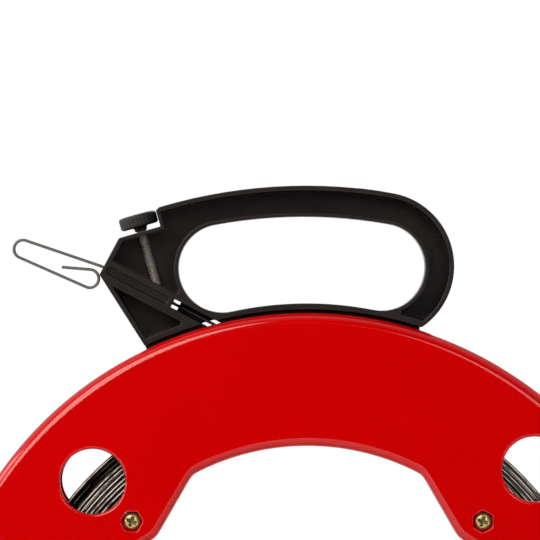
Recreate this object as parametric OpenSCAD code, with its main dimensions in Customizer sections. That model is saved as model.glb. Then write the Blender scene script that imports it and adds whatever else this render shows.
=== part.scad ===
// Fish tape reel: a round two-shell case that turns on a ring carried by the handle.
// Row frame: origin at the middle of the reel, reel axis along Y, handle on top (+Z), front towards -Y.
// Flat shapes are drawn in the X-Z plane and given their thickness along Y.

/* [Case] */
// Outer radius of the round case
reel_r = 150; // [144:1:180]
// Thickness of the whole case
reel_t = 36; // [34:1:44]
// Wall thickness of the shells
wall = 2.5; // [2:0.1:3]
// Radius of the rounded outer edge
rim_round = 4.6; // [3.6:0.1:4.8]
// Gap between the rims of the two shells, where the handle's neck runs
rim_gap = 13; // [11:0.5:16]
// Running gap between the shells and the ring
ring_clear = 0.4; // [0.3:0.05:0.5]

/* [Central opening] */
// Radius of the four round stretches of the opening
opening_r = 96.8; // [92:0.2:98]
// Distance from the axis to the flats beside each lobe
lobe_flat = 82.5; // [78:0.5:84]
// Angle of each flat's normal from the middle of its lobe
lobe_spread = 15; // [12:1:18]

/* [Windows] */
// Radius of the four see-through windows
window_r = 13; // [10:0.5:13]
// Angle of the windows from the vertical
window_angle = 46; // [43:0.5:48]
// Distance from the axis to the upper left and lower right windows
window_near = 119.1; // [118:0.1:122]
// Distance from the axis to the upper right and lower left windows
window_far = 126.2; // [122:0.1:126.4]

/* [Shell screws] */
// Distance from the axis to the four screws
screw_circle = 96.8; // [95:0.2:98]
// Angle of the screws from the vertical
screw_angle = 46.4; // [44:0.2:48]
// Radius of the screw shank
screw_r = 2; // [1.5:0.25:2]
// Width across the flats of the hexagonal pockets
pocket_flats = 7.8; // [7.6:0.1:8.2]
// Depth of the hexagonal pockets
pocket_depth = 3.6; // [3.6:0.1:4.4]
// Width across the flats of the nuts
nut_flats = 7; // [5.5:0.1:7]
// Thickness of the nuts
nut_t = 3.2; // [2.4:0.1:3.2]

/* [Tape] */
// Thickness of the spring steel tape
tape_t = 1.2; // [1:0.1:1.6]
// Width of the spring steel tape
tape_w = 3; // [2.4:0.1:3.6]
// Outer radius of the wound tape
coil_r = 121.8; // [118:0.2:124]
// Distance between the middles of neighbouring lanes of wound tape
lane_pitch = 4.2; // [4:0.1:5]
// Distance from the axis to the straight run of tape, which leaves the middle lane there
run_offset = 111.8; // [110:0.2:114]

/* [Handle] */
// Width of the handle along the reel axis
handle_w = 25; // [22:1:30]
// Thickness of the flange round the outside of the handle
outer_flange = 2; // [1.8:0.1:2.6]
// Thickness of the flange round the grip opening
inner_flange = 1.7; // [1.4:0.1:2]
// Thickness of the web between the two recesses
web_t = 3; // [2.5:0.1:4]
// Gap between the case and the foot of the handle
foot_clear = 1.3; // [0.8:0.1:1.8]
// Thickness of the foot under the grip opening
foot_t = 2.1; // [1.8:0.1:2.2]
// Thickness of the flange at the right-hand base, under the recess
base_flange = 2.8; // [2:0.1:3.4]
// Width of the slot that leads the tape out of the case
throat_w = 3.7; // [3.2:0.1:6]

/* [Clamp] */
// Radius of the knob
knob_r = 7.7; // [6:0.1:9.4]
// Thickness of the knob
knob_t = 5.5; // [4:0.1:6]
// Radius of the clamp screw
clamp_r = 1.9; // [1.6:0.1:2]
// Tilt of the clamp screw from the vertical
clamp_tilt = 15.8; // [14:0.1:20]
// Radial gap between the clamp screw and its holes
clamp_fit = 0.05; // [0.03:0.01:0.1]

/* [Hidden] */
$fn = 96;
eps = 0.02;
seam = 0.1;            // gap between the two shells where they meet
half_t = reel_t / 2;
plate_in = half_t - wall;
rim_in = reel_r - wall;

// The ring and its track
ring_out = rim_in - ring_clear;
ring_t = 3.9;
ring_in = ring_out - ring_t;
ring_half_w = plate_in - 2.5;
track_out = ring_in - ring_clear - 0.1;
track_t = 2.2;
track_half_gap = plate_in - 6.5;
neck_half_w = rim_gap / 2 - 0.3;
rib_drop = 0.6;        // how far the ring's rib stays below the rim
foot_in = reel_r + foot_clear;
foot_out = foot_in + foot_t;

// The drum that the tape is wound on, and the screw bosses in the lobes
drum_t = 2;
drum_out = opening_r + 1.8 + drum_t;
coil_clear = 0.1;
coil_in = drum_out + coil_clear;
boss_r = 6.5;
boss_step = lane_pitch + tape_w / 2 + 3.3;  // the drum side of a boss is cut back below this height
screw_hole_r = screw_r + 0.1;
head_r = 3.45;
head_t = 2.4;
nut_sink = 0.3;        // the nut and the screw's end stay this far below the face

// Rivet that anchors the inner end of the tape
rivet_angle = 217;
rivet_r = 1.5;
rivet_head_r = 3;
rivet_head_t = 1.2;
rivet_fit = 0.05;
rivet_seat = drum_t / 2 + drum_out - drum_t - sqrt(pow(drum_out - drum_t, 2) - pow(rivet_head_r, 2)) + 0.01;

// The handle's points are given from the top of the circle that its foot follows
function above(x, z) = [x, foot_in + z];

// Straight run of tape, from the middle lane to the nose: u points out along it, n away from the axis
nose_exit = above(-82.1, 17.2);
n_angle = heading(nose_exit) - acos(run_offset / norm(nose_exit));
n = [cos(n_angle), sin(n_angle)];
u = [-n.y, n.x];
function on_run(along, off = 0) = along * u + (run_offset + off) * n;
run_exit = nose_exit * u;
foot_at = run_exit - sqrt(pow(foot_in, 2) - pow(run_offset, 2));  // from the exit to the foot's underside
channel_fit = 0.3;
middle_coil_r = run_offset - tape_t / 2 - 0.35;

// Formed eye at the end of the tape: two bends of one strip and a free end
far_bend = above(-113.95, 24.2);
far_bend_r = 3.65;
near_bend = above(-87.25, 12.4);
near_bend_r = 3.65;
eye_end = above(-98.4, 17);

// Handle outline, from the foot of the nose over the top to the right-hand base
nose_foot = above(-64.9, -14.6);
nose_tip = above(-83.1, 14);
ledge_corner = above(-75.3, 28.6);
top_arc = above(-0.4, -155.8);
top_arc_r = 205.4;
top_arc_end = 84.3;
shoulder_arc = above(6.4, -91.6);
shoulder_arc_r = 140.9;
shoulder_end = 79.2;
end_arc = above(29.2, 17.4);
end_arc_r = 29.6;
end_start = 82;
base_end = -57.5;      // where the end arc meets the foot
base_corner = end_arc + end_arc_r * [cos(base_end), sin(base_end)];

// Finger opening: two round ends, joined by arcs that run smoothly into both
grip_right = above(29.9, 17);
grip_right_r = 17.4;
grip_left = above(-33.9, 16.5);
grip_left_r = 17.65;
grip_top_r = 195;
grip_low_r = 140;
grip_top = meet(grip_left, grip_top_r - grip_left_r, grip_right, grip_top_r - grip_right_r);
grip_low = meet(grip_left, grip_low_r + grip_left_r, grip_right, grip_low_r + grip_right_r);

// Guide bar over the tape channel, the throat behind it, and the web behind the clamp screw
bar_up = 4.1;          // from the tape's middle to the upper side of the bar
bar_down = 5;
bar_pocket_w = 3.2;
bar_pocket_depth = 2.5;
throat_start = foot_at - 16.8;
bar_pocket_near = 3.8; // from the nose exit to the middle of the pocket's round end
bar_pocket_far = throat_start - 3.4;
bridge_start = throat_start + 2.9;
bridge_r = foot_in + 0.5;
bridge_front = tape_w / 2 + 0.7;
web_front = clamp_r + 0.5;
web_back = web_front + web_t;
nose_recess_end = nose_foot.x + 14.2;
nose_recess_r = foot_out + 0.4;
base_recess_start = grip_right.x + 7.9;

// Clamp screw: c points down along it, e along the ledge from its corner over the hole to the notch
c = [sin(clamp_tilt), -cos(clamp_tilt)];
e = [cos(clamp_tilt), sin(clamp_tilt)];
ledge_hole = ledge_corner + (knob_r + 1.55) * e;
notch_corner = ledge_hole + (knob_r + 0.3) * e;
notch_top = notch_corner - 6.7 * c;
top_arc_start = acos((notch_top.x + 1.3 - top_arc.x) / top_arc_r);
ledge_t = 1.6;
notch_t = 1.7;
knob_lift = 2.1;       // from the ledge to the underside of the knob
knob_edge = 1.1;       // rounding of the knob's edges
knob_crown = 0.4;      // how much higher the middle of the knob is than its edge
neck_r = clamp_r + 0.6;
neck_gap = 0.4;        // between the knob's neck and the ledge
flare_r = neck_r + 0.9;
flare_h = 1.2;
knob_skin = 1.6;       // plastic over the end of the screw
clamp_reach = (ledge_hole * n - run_offset - tape_t / 2) / -(c * n);
pad_len = 3;
pad_gap = 0.2;         // between the pad and the tape
pad_seat = 0.05;
screw_down = clamp_reach - pad_len - pad_seat;

// ---------- helpers ----------

// A flat X-Z shape made solid from y0 to y1
module slab(y0, y1) {
    rotate([90, 0, 0]) translate([0, 0, -y1]) linear_extrude(y1 - y0) children();
}

// A profile of radius and height in front of the middle, turned about the reel's axis
module turned() {
    rotate([90, 0, 0]) rotate_extrude($fn = 360) children();
}

// Points along an arc, from angle a0 to angle a1
function arc(centre, r, a0, a1, steps) =
    [for (i = [0:steps]) let (a = a0 + (a1 - a0) * i / steps) centre + r * [cos(a), sin(a)]];

// Unit vector and the normal on the right of the way from a to b
function unit(v) = v / norm(v);
function right_of(a, b) = let (d = unit(b - a)) [d.y, -d.x];

// Corner p of the way a-p-b, moved to the right by g before it and h after it
function inset(a, p, b, g, h) =
    let (m = right_of(a, p), k = right_of(p, b), s = m.x * k.y - m.y * k.x)
    p + [g * k.y - h * m.y, h * m.x - g * k.x] / s;

// Direction of the line that passes two circles with both centres on its left
function pass(c1, r1, c2, r2) =
    let (e = unit(c2 - c1), f = asin((r1 - r2) / norm(c2 - c1)))
    [e.x * cos(f) - e.y * sin(f), e.x * sin(f) + e.y * cos(f)];
function heading(d) = atan2(d.y, d.x);

// Lower of the two points where two circles cross
function meet(c1, r1, c2, r2) =
    let (d = norm(c2 - c1), k = (c2 - c1) / d, a = (d * d + r1 * r1 - r2 * r2) / (2 * d))
    c1 + a * k + sqrt(r1 * r1 - a * a) * [k.y, -k.x];

// Polar angles, from the X axis, of the four screws and windows
quarters = [90 + screw_angle, 90 - screw_angle, screw_angle - 90, 270 - screw_angle];
// Turn of the hexagons of screw number i: a corner to the side for 1 and 3, to the top for 2 and 4
function hex_turn(i) = (i % 2 == 1 ? 0 : 90) - quarters[i - 1];
windows = [
    [90 + window_angle, window_near], [90 - window_angle, window_far],
    [window_angle - 90, window_near], [270 - window_angle, window_far],
];

// ---------- case ----------

// Outline of the central opening, grown by g: a circle less four blunt lobes
module opening(g = 0) {
    difference() {
        circle(opening_r + g, $fn = 360);
        for (q = [45:90:315])
            rotate(q) intersection_for (s = [-1, 1])
                rotate(s * lobe_spread) translate([lobe_flat + g, -reel_r]) square([reel_r, 2 * reel_r]);
    }
}

// Half section of a shell: face plate, rounded rim, ring track and tape drum
module shell_section() {
    bend = [reel_r - rim_round, half_t - rim_round];
    track_in = track_out - track_t;
    drum_in = drum_out - drum_t;
    polygon(concat(
        [[lobe_flat - wall, plate_in], [lobe_flat - wall, half_t]],
        arc(bend, rim_round, 90, 0, 8),
        [[reel_r, rim_gap / 2], [rim_in, rim_gap / 2]],
        arc(bend, rim_round - wall, 0, 90, 6),
        [[track_out, plate_in], [track_out, track_half_gap], [track_in, track_half_gap], [track_in, plate_in]],
        [[drum_out, plate_in], [drum_out, seam / 2], [drum_in, seam / 2], [drum_in, plate_in]]
    ));
}

// One screw boss, cut back where the tape is wound
module boss() {
    difference() {
        translate([0, 0, seam / 2]) cylinder(r = boss_r, h = plate_in + wall / 2);
        translate([-screw_circle, 0, -1]) difference() {
            cylinder(r = drum_out + 2 * boss_r, h = boss_step + 1);
            translate([0, 0, -1]) cylinder(r = drum_out - drum_t / 2, h = boss_step + 3, $fn = 360);
        }
    }
}

// One shell in its own frame: the face looks along +Z
module shell_body() {
    difference() {
        union() {
            rotate_extrude($fn = 360) shell_section();
            translate([0, 0, seam / 2]) linear_extrude(plate_in + wall / 2) opening(wall);
            for (q = quarters) rotate(q) translate([screw_circle, 0, 0]) boss();
        }
        translate([0, 0, -1]) linear_extrude(reel_t) opening();
        for (w = windows) rotate(w[0]) translate([w[1], 0, plate_in - 1]) cylinder(r = window_r, h = wall + 2);
        for (i = [1:4]) rotate(quarters[i - 1]) translate([screw_circle, 0, 0]) {
            translate([0, 0, -1]) cylinder(r = screw_hole_r, h = reel_t);
            translate([0, 0, half_t - pocket_depth]) rotate(hex_turn(i))
                cylinder(d = pocket_flats / cos(30), h = reel_t, $fn = 6);
        }
    }
}

module front_shell() {
    color("red") difference() {
        rotate([90, 0, 0]) shell_body();
        rivet_place() cylinder(r = rivet_r + rivet_fit, h = 12, center = true);
    }
}

module back_shell() {
    color("red") mirror([0, 1, 0]) rotate([90, 0, 0]) shell_body();
}

// Where the anchor rivet goes: local Z points outwards through the drum, in the front lane
module rivet_place() {
    translate([0, -lane_pitch, 0]) rotate([0, -rivet_angle, 0]) translate([drum_out - drum_t / 2, 0, 0])
        rotate([0, 90, 0]) children();
}

module tape_anchor() {
    color("silver") rivet_place() {
        translate([0, 0, -rivet_seat - rivet_head_t]) cylinder(r = rivet_head_r, h = rivet_head_t);
        translate([0, 0, -rivet_seat - eps]) cylinder(r = rivet_r, h = rivet_seat + drum_t / 2 + eps);
    }
}

// Screw number i: domed head with a cross recess in the front pocket, shank into the back pocket
module shell_screw(i) {
    shank = 2 * half_t - pocket_depth - nut_sink;
    color("goldenrod") rotate([90, 0, 0]) rotate(quarters[i - 1]) translate([screw_circle, 0, 0]) difference() {
        union() {
            translate([0, 0, nut_sink - half_t]) cylinder(r = screw_r, h = shank);
            translate([0, 0, half_t - pocket_depth]) intersection() {
                cylinder(r = head_r, h = head_t);
                translate([0, 0, head_t - 2 * head_r]) sphere(2 * head_r);
            }
        }
        translate([0, 0, half_t - pocket_depth + head_t - 0.6]) for (s = [0, 90])
            rotate(s + 25) cube([3.6, 0.9, 2.6], center = true);
    }
}

// Nut number i, in the back pocket
module shell_nut(i) {
    color("goldenrod") rotate([90, 0, 0]) rotate(quarters[i - 1])
        translate([screw_circle, 0, nut_sink - half_t]) rotate(hex_turn(i)) difference() {
            cylinder(d = nut_flats / cos(30), h = nut_t, $fn = 6);
            translate([0, 0, -1]) cylinder(r = screw_r + 0.05, h = nut_t + 2);
        }
}

// ---------- tape ----------

// One lane of wound tape
module lane(y, outer) {
    color("dimgray") turned() translate([coil_in, -y - tape_w / 2]) square([outer - coil_in, tape_w]);
}

module tape_coil_front() {
    lane(-lane_pitch, coil_r);
}

module tape_coil_middle() {
    lane(0, middle_coil_r);
}

module tape_coil_back() {
    lane(lane_pitch, coil_r);
}

// Edge of the strip, g to the right of its middle: the straight run, then the formed eye
function strip_edge(g) =
    let (
        exit = on_run(run_exit),
        d1 = pass(exit, 0, far_bend, far_bend_r),
        d2 = pass(far_bend, far_bend_r, near_bend, near_bend_r),
        d3 = pass(near_bend, near_bend_r, eye_end, 0)
    )
    concat(
        [on_run(0, g), inset(on_run(0), exit, exit + d1, g, g)],
        arc(far_bend, far_bend_r + g, heading(d1) - 90, heading(d2) + 270, 12),
        arc(near_bend, near_bend_r + g, heading(d2) - 90, heading(d3) - 90, 12),
        [eye_end + g * [d3.y, -d3.x]]
    );

// Straight run through the handle and the formed eye outside the nose, one strip
module tape_lead() {
    inner = strip_edge(-tape_t / 2);
    color("gray") slab(-tape_w / 2, tape_w / 2)
        polygon(concat(strip_edge(tape_t / 2), [for (i = [len(inner) - 1:-1:0]) inner[i]]));
}

// ---------- handle ----------

// Outline of the handle with its outer edge moved in by g, down to radius r of the foot
module handle_outline(g = 0, r = foot_in) {
    ledge_g = ledge_t * sign(g);
    notch_g = notch_t * sign(g);
    first = top_arc + top_arc_r * [cos(top_arc_start), sin(top_arc_start)];
    intersection() {
        polygon(concat(
            [
                nose_foot - 4 * unit(nose_tip - nose_foot) + g * right_of(nose_foot, nose_tip),
                inset(nose_foot, nose_tip, ledge_corner, g, g),
                inset(nose_tip, ledge_corner, notch_corner, g, ledge_g),
                inset(ledge_corner, notch_corner, notch_top, ledge_g, notch_g),
                inset(notch_corner, notch_top, first, notch_g, g),
            ],
            arc(top_arc, top_arc_r - g, top_arc_start, top_arc_end, 12),
            arc(shoulder_arc, shoulder_arc_r - g, top_arc_end, shoulder_end, 4),
            arc(end_arc, end_arc_r - g, end_start, base_end - 3, 36),
            [[0, 0]]
        ));
        difference() {
            circle(reel_r * 1.6);
            circle(r, $fn = 360);
        }
    }
}

// Finger opening, grown by g
module grip(g = 0) {
    polygon(concat(
        arc(grip_right, grip_right_r + g, heading(grip_low - grip_right), heading(grip_right - grip_top), 36),
        arc(grip_top, grip_top_r + g, heading(grip_right - grip_top), heading(grip_left - grip_top), 12),
        arc(grip_left, grip_left_r + g, heading(grip_left - grip_top), heading(grip_low - grip_left) + 360, 36),
        arc(grip_low, grip_low_r - g, heading(grip_left - grip_low), heading(grip_right - grip_low), 16)
    ));
}

// Strip beside the straight run of tape, between two distances along and across it
module beside_run(along0, along1, off0, off1) {
    polygon([on_run(run_exit - along0, off0), on_run(run_exit - along1, off0),
             on_run(run_exit - along1, off1), on_run(run_exit - along0, off1)]);
}

// Slot that the tape slides through, and the wider throat where it leaves the case
module channel() {
    beside_run(-5, run_exit, -tape_t / 2 - channel_fit, tape_t / 2 + channel_fit);
}
module throat() {
    beside_run(throat_start, run_exit, -throat_w / 2, throat_w / 2);
}

// Recess that runs from the nose over the top bar to the right-hand base
module long_recess() {
    difference() {
        handle_outline(outer_flange, foot_in + base_flange);
        grip(inner_flange);
        beside_run(-20, run_exit, -run_offset, bar_up);
        beside_run(throat_start, run_exit, 0, 3 * bar_up);
        translate([grip_left.x, 0]) square([base_recess_start - grip_left.x, grip_left.y]);
    }
}

// Three-cornered recess under the guide bar
module nose_recess() {
    difference() {
        handle_outline(outer_flange, nose_recess_r);
        beside_run(-20, run_exit, -bar_down, run_offset);
        translate([nose_recess_end, 0]) square(2 * reel_r);
    }
}

// Round-ended pocket in the face of the guide bar
module bar_pocket() {
    beside_run(bar_pocket_near, bar_pocket_far, -bar_pocket_w / 2, bar_pocket_w / 2);
    for (s = [bar_pocket_near, bar_pocket_far]) translate(on_run(run_exit - s)) circle(bar_pocket_w / 2);
}

// Where the clamp goes: local Z points up along the screw, from the ledge hole
module clamp_place() {
    translate([ledge_hole.x, 0, ledge_hole.y]) rotate([0, -clamp_tilt, 0]) children();
}

// Round bar on the clamp's axis, from the tape up to height h above it, cut parallel to the tape
module clamp_bar(r, h, above_tape) {
    difference() {
        clamp_place() translate([0, 0, -clamp_reach - 4]) cylinder(r = r, h = h + 4);
        slab(-9, 9) beside_run(-20, 90, -90, tape_t / 2 + above_tape);
    }
}

module handle_frame() {
    half = handle_w / 2;
    color("dimgray") difference() {
        slab(-half, half) difference() {
            handle_outline();
            grip();
        }
        for (side = [[-half - 1, web_front], [web_back, half + 1]]) slab(side[0], side[1]) {
            long_recess();
            nose_recess();
        }
        for (side = [[-half - 1, bar_pocket_depth - half], [half - bar_pocket_depth, half + 1]])
            slab(side[0], side[1]) bar_pocket();
        slab(-tape_w / 2 - channel_fit, tape_w / 2 + channel_fit) channel();
        difference() {
            slab(-half - 1, half + 1) throat();
            slab(bridge_front, web_back + 2) difference() {
                beside_run(bridge_start, run_exit, -throat_w, throat_w);
                circle(bridge_r, $fn = 360);
            }
        }
        clamp_bar(clamp_r + clamp_fit, 60, 0);
    }
}

// Ring that the case turns on, with a rib between the rims and a neck under the handle
module guide_ring() {
    color("dimgray") difference() {
        union() {
            turned() {
                translate([ring_in, -ring_half_w]) square([ring_t, 2 * ring_half_w]);
                translate([ring_out - eps, -neck_half_w])
                    square([reel_r - rib_drop - ring_out + eps, 2 * neck_half_w]);
            }
            slab(-neck_half_w, neck_half_w) intersection() {
                difference() {
                    circle(foot_in, $fn = 360);
                    circle(ring_out - 1, $fn = 360);
                }
                polygon(concat(
                    [[0, 0]],
                    arc([0, 0], reel_r * 1.2, heading(nose_foot), heading(base_corner), 12)
                ));
            }
        }
        slab(-tape_w / 2 - channel_fit, tape_w / 2 + channel_fit) channel();
        slab(-neck_half_w - 1, neck_half_w + 1) intersection() {
            throat();
            difference() {
                circle(reel_r * 1.2);
                circle(reel_r - rib_drop, $fn = 360);
            }
        }
    }
}

// ---------- clamp ----------

// Moulded knob with a crowned top, a flared neck and a blind hole for the screw
module clamp_knob() {
    side_top = knob_t - knob_crown;
    color("dimgray") clamp_place() translate([0, 0, knob_lift]) rotate_extrude() polygon(concat(
        [[clamp_r, neck_gap - knob_lift], [neck_r, neck_gap - knob_lift], [neck_r, -flare_h], [flare_r, 0]],
        arc([knob_r - knob_edge, knob_edge], knob_edge, -90, 0, 6),
        arc([knob_r - knob_edge, side_top - knob_edge], knob_edge, 0, 84, 6),
        [for (r = [knob_r - 2 * knob_edge:-1:0.2]) [r, knob_t - knob_crown * pow(r / knob_r, 2)]],
        [[0, knob_t], [0, knob_t - knob_skin], [clamp_r, knob_t - knob_skin]]
    ));
}

module clamp_screw() {
    color("gray") clamp_place() translate([0, 0, -screw_down])
        cylinder(r = clamp_r - 0.01, h = screw_down + knob_lift + knob_t - knob_skin - 0.1);
}

// Pressure pad under the screw, its lower end cut parallel to the tape
module clamp_pad() {
    color("silver") clamp_bar(clamp_r, pad_len, pad_gap);
}

handle_frame();
guide_ring();
clamp_knob();
clamp_screw();
clamp_pad();
front_shell();
back_shell();
for (i = [1:4]) shell_screw(i);
for (i = [1:4]) shell_nut(i);
tape_coil_front();
tape_coil_middle();
tape_coil_back();
tape_anchor();
tape_lead();
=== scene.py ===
import math

import bmesh
import bpy
import numpy as np
from bpy.props import FloatProperty, FloatVectorProperty, IntProperty, PointerProperty
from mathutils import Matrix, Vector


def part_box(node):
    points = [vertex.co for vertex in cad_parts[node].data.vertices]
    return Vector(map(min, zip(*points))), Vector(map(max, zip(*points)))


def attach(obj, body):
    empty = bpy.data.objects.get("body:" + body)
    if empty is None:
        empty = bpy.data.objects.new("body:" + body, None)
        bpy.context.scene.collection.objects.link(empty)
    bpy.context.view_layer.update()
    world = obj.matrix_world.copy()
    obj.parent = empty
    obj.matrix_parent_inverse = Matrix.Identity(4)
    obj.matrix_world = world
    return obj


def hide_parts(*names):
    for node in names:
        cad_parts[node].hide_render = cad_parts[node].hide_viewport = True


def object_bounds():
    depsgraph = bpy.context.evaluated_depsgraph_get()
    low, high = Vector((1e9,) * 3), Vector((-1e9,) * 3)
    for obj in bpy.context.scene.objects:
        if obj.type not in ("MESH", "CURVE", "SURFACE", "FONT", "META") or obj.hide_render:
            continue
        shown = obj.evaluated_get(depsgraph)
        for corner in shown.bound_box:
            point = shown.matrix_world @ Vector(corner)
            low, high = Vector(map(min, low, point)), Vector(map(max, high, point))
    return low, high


bl_info = {
    "name": "Fish tape reel",
    "version": (1, 0, 0),
    "blender": (4, 5, 0),
    "location": "View3D > Sidebar > Fish tape",
    "description": "Builds the detailed pieces and finishes of a fish tape reel around its packed frame",
    "category": "Object",
}

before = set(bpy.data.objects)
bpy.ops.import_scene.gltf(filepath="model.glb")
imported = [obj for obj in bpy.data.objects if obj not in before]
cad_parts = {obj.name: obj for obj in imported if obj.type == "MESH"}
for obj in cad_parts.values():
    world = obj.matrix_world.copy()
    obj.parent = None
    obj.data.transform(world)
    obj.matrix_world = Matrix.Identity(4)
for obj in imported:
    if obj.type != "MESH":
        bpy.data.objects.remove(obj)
CAD_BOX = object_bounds()
MM = 0.001
REEL_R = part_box("front_shell")[1][0]
HALF_T = -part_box("front_shell")[0][1]
COIL_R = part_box("tape_coil_front")[1][0]
QUARTERS = (1, 2, 3, 4)


# ---------- sizes and colours ----------

def length(name, description, default_mm):
    """A length property in metres whose default is given in millimetres."""
    return FloatProperty(name=name, description=description, default=default_mm * MM,
                         unit="LENGTH", precision=5, min=0.0)


def position(name, description, default_mm):
    """A coordinate property in metres whose default is given in millimetres."""
    return FloatProperty(name=name, description=description, default=default_mm * MM,
                         unit="LENGTH", precision=5)


def spot(name, description, x_mm, z_mm):
    """A place on the middle plane as X and Z in metres, with its default in millimetres."""
    return FloatVectorProperty(name=name, description=description, default=(x_mm * MM, z_mm * MM),
                               size=2, unit="LENGTH", precision=5)


def count(name, description, default):
    """A whole number property."""
    return IntProperty(name=name, description=description, default=default, min=1)


def colour(name, description, default):
    """A linear colour property."""
    return FloatVectorProperty(name=name, description=description, default=default,
                               subtype="COLOR", size=3, min=0.0, max=1.0)


def turn(name, description, default_degrees):
    """An angle property whose default is given in degrees."""
    return FloatProperty(name=name, description=description, default=math.radians(default_degrees),
                         subtype="ANGLE")


class FT_case(bpy.types.PropertyGroup):
    wall: length("Wall", "Wall thickness of the shells", 2.5)
    rim_round: length("Rim rounding", "Radius of the rounded outer edge", 4.6)
    rim_gap: length("Rim gap", "Gap between the rims of the two shells", 13)
    lip_round: length("Lip rounding", "Rounding of the rim's inner lip", 0.5)
    seam: length("Seam", "Half of the gap between the shells at the hub", 0.05)
    opening_r: length("Opening radius", "Radius of the round stretches of the central opening", 96.8)
    opening_round: length("Opening rounding", "Radius of the rounded edge of the opening", 3.5)
    lobe_flat: length("Lobe flat", "Distance from the axis to the flats of the four lobes", 82.5)
    lobe_spread: turn("Lobe spread", "Angle of each flat from the middle of its lobe", 15)
    window_r: length("Window radius", "Radius of the four see-through windows", 13)
    window_round: length("Window rounding", "Radius of the rounded edge of a window", 1.2)
    window_angle: turn("Window angle", "Angle of the windows from the vertical", 46)
    window_near: length("Near windows", "Distance from the axis to windows 1 and 3", 119.1)
    window_far: length("Far windows", "Distance from the axis to windows 2 and 4", 126.2)
    drum_r: length("Drum radius", "Outer radius of the drum the tape is wound on", 100.6)
    track_r: length("Track radius", "Outer radius of the wall that the ring runs on", 142.7)
    track_t: length("Track wall", "Thickness of the wall that the ring runs on", 2.2)
    track_gap: length("Track gap", "Height of the track wall's edge from the middle", 9)
    red: colour("Red", "Colour of the moulded shells", (0.385, 0.0, 0.0002))


class FT_screws(bpy.types.PropertyGroup):
    circle: length("Screw circle", "Distance from the axis to the screws", 96.8)
    angle: turn("Screw angle", "Angle of the screws from the vertical", 46.4)
    pocket_flats: length("Pocket flats", "Width of the hexagonal pockets", 7.8)
    pocket_depth: length("Pocket depth", "Depth of the hexagonal pockets", 3.6)
    pocket_round: length("Pocket rounding", "Rounding of the pocket's edge", 0.55)
    head_r: length("Head radius", "Radius of a screw's head", 3.45)
    head_t: length("Head height", "Height of a screw's head", 2.4)
    shank_r: length("Shank radius", "Radius of a screw's shank", 2)
    hole_r: length("Hole radius", "Radius of the screw hole", 2.1)
    nut_flats: length("Nut flats", "Width across the flats of a nut", 7)
    nut_t: length("Nut height", "Height of a nut", 3.2)
    nut_sink: length("Nut depth", "Depth of a nut below the face", 0.3)
    pitch: length("Thread pitch", "Pitch of the screw thread", 0.7)
    cross_turn: turn("Cross turn", "Angle of the cross recesses", 25)
    cross_depth: length("Cross depth", "Depth of the cross recess", 1.5)
    cross_arm: length("Cross arm", "Half the width of an arm of the cross recess", 0.5)
    cross_r: length("Cross radius", "Radius of the cross recess", 2.1)
    zinc: colour("Zinc", "Colour of the zinc plating", (0.50, 0.40, 0.19))


class FT_tape(bpy.types.PropertyGroup):
    thick: length("Thickness", "Thickness of the tape", 1.2)
    width: length("Width", "Width of the tape", 3)
    edge: length("Edge rounding", "Rounding of the tape's rolled edges", 0.5)
    lane_pitch: length("Lane pitch", "Distance between neighbouring lanes", 4.2)
    coil_clear: length("Coil clearance", "Gap between the drum and the first turn", 0.1)
    run_offset: length("Run offset", "Distance from the axis to the straight run", 111.8)
    outer_turns: count("Outer turns", "Turns in the front and back lanes", 12)
    middle_turns: count("Middle turns", "Turns in the middle lane", 6)
    # painted shade: how many outer turns, counted from the end, are darkened as if in shadow
    shaded_turns: FloatProperty(name="Shaded turns", description="Outer turns without rubbed edges", default=2.4)
    nose_exit: spot("Nose exit", "Where the tape leaves the nose", -82.1, 168.5)
    kink_reach: length("Kink reach", "Half the length of the soft kink at the nose", 1.2)
    far_bend: spot("Far bend", "Centre of the eye's outer bend", -113.95, 175.5)
    near_bend: spot("Near bend", "Centre of the eye's bend beside the nose", -87.25, 163.7)
    bend_r: length("Bend radius", "Radius of the eye's two bends", 3.65)
    eye_end: spot("Eye end", "Where the tape that is bent back ends", -98.4, 168.3)
    steel: colour("Steel", "Colour of the rolled spring steel", (0.088, 0.077, 0.064))
    # painted highlight colour for the middle of the tape's edges
    bright: colour("Bright edge", "Colour of the tape's rubbed edges", (1.0, 0.96, 0.87))
    grey: colour("Grey steel", "Colour of the formed end", (0.115, 0.121, 0.128))


class FT_handle(bpy.types.PropertyGroup):
    edge: length("Edge rounding", "Rounding of the handle's moulded edges", 0.45)
    ring_edge: length("Ring edge rounding", "Rounding of the ring's edges", 0.4)
    black: colour("Black", "Colour of the moulded handle", (0.0090, 0.0070, 0.0067))
    ring_black: colour("Ring black", "Colour of the ring", (0.0085, 0.0072, 0.0070))


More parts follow.
